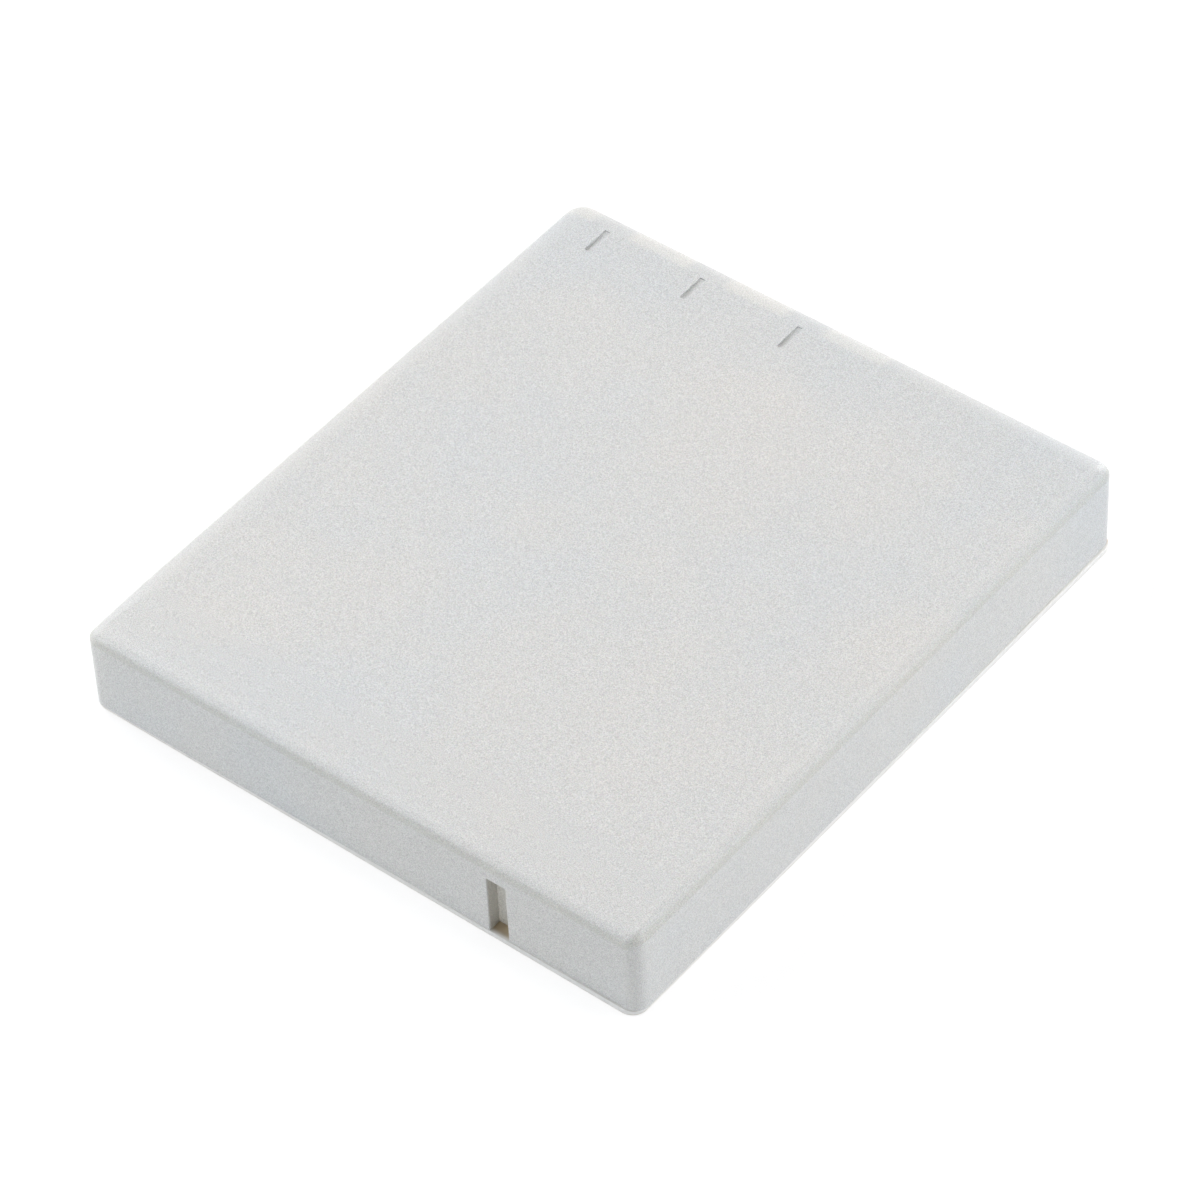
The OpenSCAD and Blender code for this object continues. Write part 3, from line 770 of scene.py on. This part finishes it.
def makeWelds():
    # Four spots on each welded end of the nickel strips
    step, thick = welds["pitch"], welds["stripThickness"]
    positive, rivet, board = (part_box(name) for name in ("positive_strap", "rivet_strap", "board_strap"))
    halfWidth = (positive[1].z - positive[0].z) / 2
    places = {
        "canWelds": (positive[1].x - welds["canInset"], positive[0].y + thick, 1),
        "rivetWelds": (rivet[0].x + halfWidth - step / 2, rivet[1].y, 1),
        "positiveBoardWelds": (positive[0].x + welds["positiveInset"], positive[1].y - thick, -1),
        "negativeBoardWelds": (board[1].x - welds["boardInset"], board[1].y - thick, -1),
    }
    for name, (x, y, facing) in places.items():
        spots = weldSpot(name, facing)
        runTree(spots, rowsOf, {"Count": 2, "Pitch": (step, 0, 0), "Rows": 2, "Row Step": (0, 0, step),
                                "First": (x, y, positive[0].z + halfWidth - step / 2),
                                "Material": materials["nickel"]})
        smoothByAngle(spots, 40)
        finishPiece(spots, "nickel")


makeWelds()
print("welds ready")


# Floor, world, lamps and camera

studio = {
    "floorSize": 1.2,
    "floorColor": 0.92,
    "floorSeen": 0.3,  # what the camera sees of the lit floor, on top of its white
    "floorWhite": 0.78,
    "worldLight": 0.005,
}


def seenDirectly(tree):
    # 1 for rays of the camera, of mirrors and of glass, which see the white studio
    rays = addNode(tree, "ShaderNodeLightPath")
    seen = calc(tree, "MAXIMUM", rays.outputs["Is Camera Ray"], rays.outputs["Is Glossy Ray"])
    return calc(tree, "MAXIMUM", seen, rays.outputs["Is Transmission Ray"])


def makeFloor():
    half = studio["floorSize"] / 2
    corners = [(-half, -half, 0), (half, -half, 0), (half, half, 0), (-half, half, 0)]
    mesh = bpy.data.meshes.new("floor")
    mesh.from_pydata(corners, [], [(0, 1, 2, 3)])
    floor = linkMesh("floor", mesh)
    material = bpy.data.materials.new("floorPaint")
    material.use_nodes = True
    tree = material.node_tree
    tree.nodes.clear()
    seen = seenDirectly(tree)
    tone = blendColor(tree, seen, (studio["floorColor"],) * 3, (studio["floorSeen"],) * 3)
    matte = addNode(tree, "ShaderNodeBsdfDiffuse", {"Color": tone})
    glow = calc(tree, "MULTIPLY", seen, studio["floorWhite"])
    white = addNode(tree, "ShaderNodeEmission", {"Color": (1, 1, 1, 1), "Strength": glow})
    lit = addNode(tree, "ShaderNodeAddShader", {0: matte.outputs[0], 1: white.outputs[0]})
    clear = addNode(tree, "ShaderNodeBsdfTransparent")
    below = addNode(tree, "ShaderNodeNewGeometry").outputs["Backfacing"]
    sides = addNode(tree, "ShaderNodeMixShader", {0: below, 1: lit.outputs[0], 2: clear.outputs[0]})
    addNode(tree, "ShaderNodeOutputMaterial", {"Surface": sides.outputs[0]})
    mesh.materials.append(material)


def makeWorld():
    world = bpy.data.worlds.new("studioWorld")
    scene.world = world
    world.use_nodes = True
    tree = world.node_tree
    tree.nodes.clear()
    strength = addNode(tree, "ShaderNodeMapRange", {"Value": seenDirectly(tree), "To Max": 1.0,
                                                    "To Min": studio["worldLight"]})
    light = addNode(tree, "ShaderNodeBackground", {"Color": (1, 1, 1, 1), "Strength": strength.outputs[0]})
    addNode(tree, "ShaderNodeOutputWorld", {"Surface": light.outputs[0]})


# Each lamp: azimuth round the pack and height above the floor in degrees, distance, size, power and colour
lamps = {
    "backRight": (135, 65, 0.5, 0.3, 0.90, (1.0, 0.965, 0.945)),
    "rightLow": (90, 15, 0.5, 0.2, 0.44, (0.9, 0.95, 1.0)),
    "backRightLow": (120, 15, 0.3, 0.12, 0.255, (0.9, 0.95, 1.0)),
    "left": (270, 40, 0.5, 0.3, 1.40, (0.95, 0.965, 0.985)),
    "frontLow": (0, 15, 0.5, 0.2, 0.26, (0.925, 0.97, 1.0)),
    "frontLeftLow": (320, 15, 0.3, 0.12, 0.22, (0.925, 0.97, 1.0)),
    "frontLeft": (315, 65, 0.5, 0.3, 0.27, (0.88, 0.92, 1.0)),
    "backLow": (180, 15, 0.5, 0.2, 0.85, (1.0, 0.98, 0.96)),
}


def makeLamp(name, azimuth, elevation, distance, size, power, color):
    data = bpy.data.lights.new(name, "AREA")
    data.shape = "DISK"
    data.size = size
    data.energy = power
    data.color = color
    lamp = bpy.data.objects.new(name, data)
    a, e = math.radians(azimuth), math.radians(elevation)
    back = Vector((math.sin(a) * math.cos(e), -math.cos(a) * math.cos(e), math.sin(e)))
    lamp.location = back * distance
    lamp.rotation_mode = "QUATERNION"
    lamp.rotation_quaternion = back.to_track_quat("Z", "Y")
    scene.collection.objects.link(lamp)


view = {
    "azimuth": 40.38,
    "elevation": 45.80,
    "roll": -3.09,
    "right": 0.44 * mm,  # how far the pack's origin lies right of the view's middle
    "up": -1.15 * mm,
    "distance": 286.41 * mm,
    "focalPixels": 5553,
    "imagePixels": 1200,
    "sensor": 36,
}


def makeCamera():
    a, e, r = (math.radians(view[key]) for key in ("azimuth", "elevation", "roll"))
    back = Vector((math.sin(a) * math.cos(e), -math.cos(a) * math.cos(e), math.sin(e)))
    right = (-back).cross(Vector((0, 0, 1))).normalized()
    up = right.cross(-back)
    turnedRight = math.cos(r) * right + math.sin(r) * up
    turnedUp = math.cos(r) * up - math.sin(r) * right
    data = bpy.data.cameras.new("camera")
    data.sensor_width = view["sensor"]
    data.lens = view["focalPixels"] * view["sensor"] / view["imagePixels"]
    data.clip_start, data.clip_end = 0.01, 10
    camera = bpy.data.objects.new("camera", data)
    place = back * view["distance"] - turnedRight * view["right"] - turnedUp * view["up"]
    turned = Matrix((turnedRight, turnedUp, back)).transposed().to_4x4()
    camera.matrix_world = Matrix.Translation(place) @ turned
    scene.collection.objects.link(camera)
    scene.camera = camera


makeFloor()
makeWorld()
for lampName, lampValues in lamps.items():
    makeLamp(lampName, *lampValues)
makeCamera()
scene.view_settings.view_transform = "Standard"
print("studio ready")
